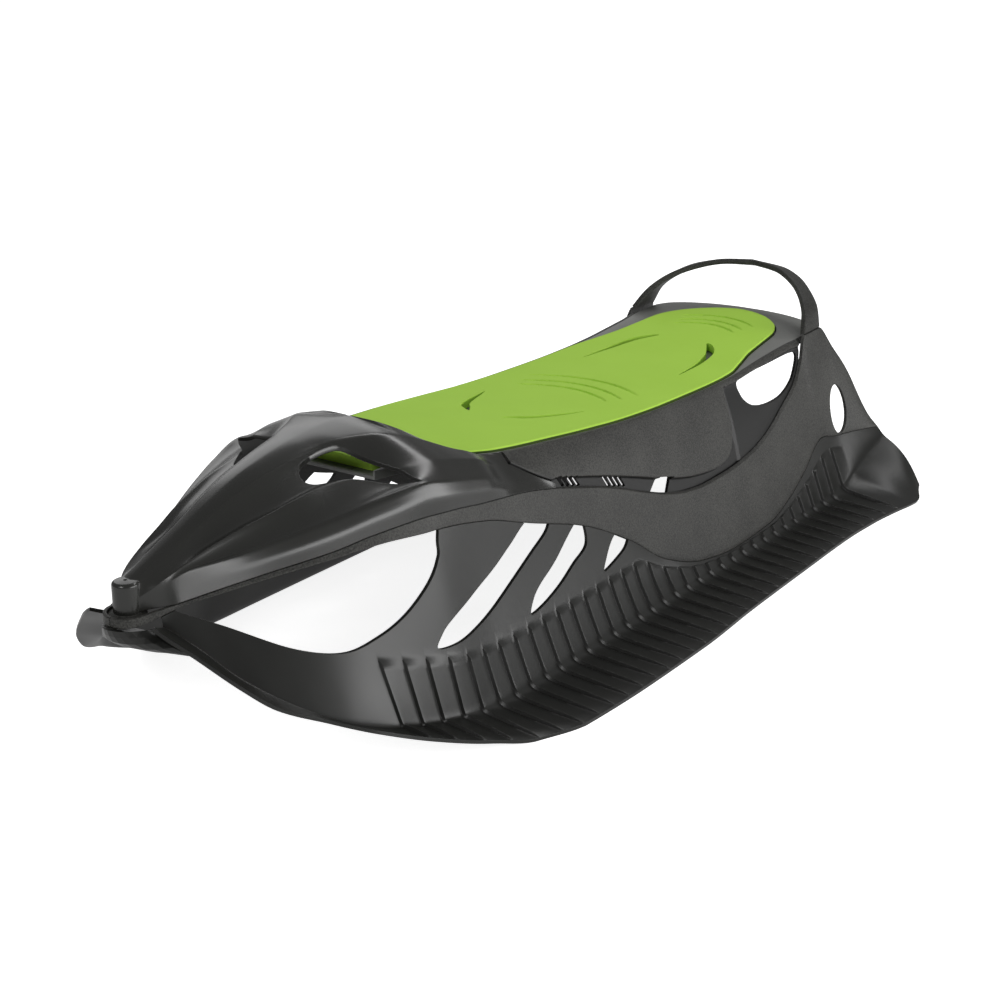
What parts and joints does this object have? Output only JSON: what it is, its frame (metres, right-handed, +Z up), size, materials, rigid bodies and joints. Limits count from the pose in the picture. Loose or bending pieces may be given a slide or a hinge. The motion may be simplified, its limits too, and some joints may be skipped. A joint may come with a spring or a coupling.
{
  "type": "two-runner snow sled with padded seat",
  "caption": "Two-runner plastic snow sled with a pointed hood, hand openings, stepped runners, a soft seat pad and a rear handle.",
  "frame": {"origin": "middle of the footprint, on the snow", "axes": "+Y towards the rear handle, -Y towards the nose, +X to the side that is on the right with the nose towards the viewer, +Z up"},
  "size_m": [0.56, 1.2062, 0.2755],
  "materials": {
    "gloss_shell": "gloss moulded",
    "grained_shell": "fine grain",
    "seat_foam": "closed-cell foam, matt",
    "fastener": "zinc plated"
  },
  "bodies": {
    "root": {"hood": "gloss_shell", "nose_collar": "grained_shell", "nose_chin": "gloss_shell", "seat_deck": "grained_shell", "seat_pad": "seat_foam", "side_wall_left": "grained_shell", "side_wall_right": "grained_shell", "side_band_left": "grained_shell", "side_band_right": "grained_shell", "rear_leg_left": "grained_shell", "rear_leg_right": "grained_shell", "runner_left": "gloss_shell", "runner_right": "gloss_shell", "rear_handle": "grained_shell", "cross_rib_front": "grained_shell", "cross_rib_middle": "grained_shell", "cross_rib_rear": "grained_shell", "deck_screw_front_left": "fastener", "deck_screw_front_right": "fastener", "deck_screw_middle_left": "fastener", "deck_screw_middle_right": "fastener", "deck_screw_rear_left": "fastener", "deck_screw_rear_right": "fastener"}
  },
  "joints": []
}
